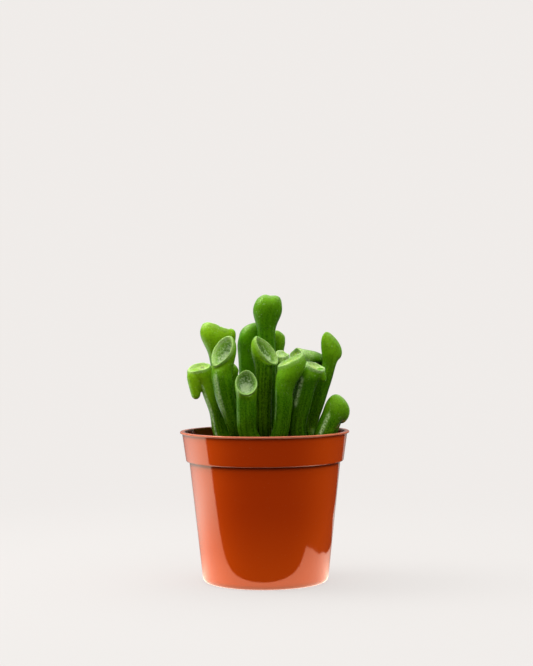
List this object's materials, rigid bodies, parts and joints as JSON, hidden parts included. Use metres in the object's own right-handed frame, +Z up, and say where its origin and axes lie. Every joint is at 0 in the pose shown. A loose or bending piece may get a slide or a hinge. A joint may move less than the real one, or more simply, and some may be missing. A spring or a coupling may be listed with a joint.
{
  "type": "potted trumpet jade",
  "caption": "Potted succulent: upright tubular green leaves, each ending in a hollowed trumpet-shaped cup, in a round tapered plastic nursery pot with a stepped rim band.",
  "frame": {"origin": "centre of the pot's foot, on the surface that it stands on", "axes": "+Z up; the front of the plant looks along -Y; +X to the right of that front"},
  "size_m": [0.06, 0.06, 0.1018],
  "materials": {
    "pot": "glossy moulded terracotta-coloured plastic",
    "soil": "dark crumbly potting soil",
    "stem": "matt grey-green succulent stem",
    "leaf": "glossy, finely pitted succulent skin, paler in the cup"
  },
  "bodies": {
    "root": {"pot": "pot", "soil": "soil", "stem_left": "stem", "stem_front": "stem", "stem_right": "stem", "stem_middle": "stem", "stem_back_left": "stem", "stem_back_right": "stem", "leaf_left_hooked": "leaf", "leaf_left_slit": "leaf", "leaf_left_wide": "leaf", "leaf_left_short": "leaf", "leaf_middle_bowed": "leaf", "leaf_middle_top": "leaf", "leaf_middle_spoon": "leaf", "leaf_middle_bud": "leaf", "leaf_front_cup": "leaf", "leaf_front_flared": "leaf", "leaf_right_flat": "leaf", "leaf_right_tall": "leaf", "leaf_right_low": "leaf", "leaf_right_arched": "leaf", "leaf_back_tip": "leaf", "leaf_back_fill": "leaf", "leaf_back_centre": "leaf", "leaf_back_right": "leaf", "leaf_back_far_right": "leaf", "leaf_back_left_low": "leaf", "leaf_back_left_side": "leaf"}
  },
  "joints": []
}
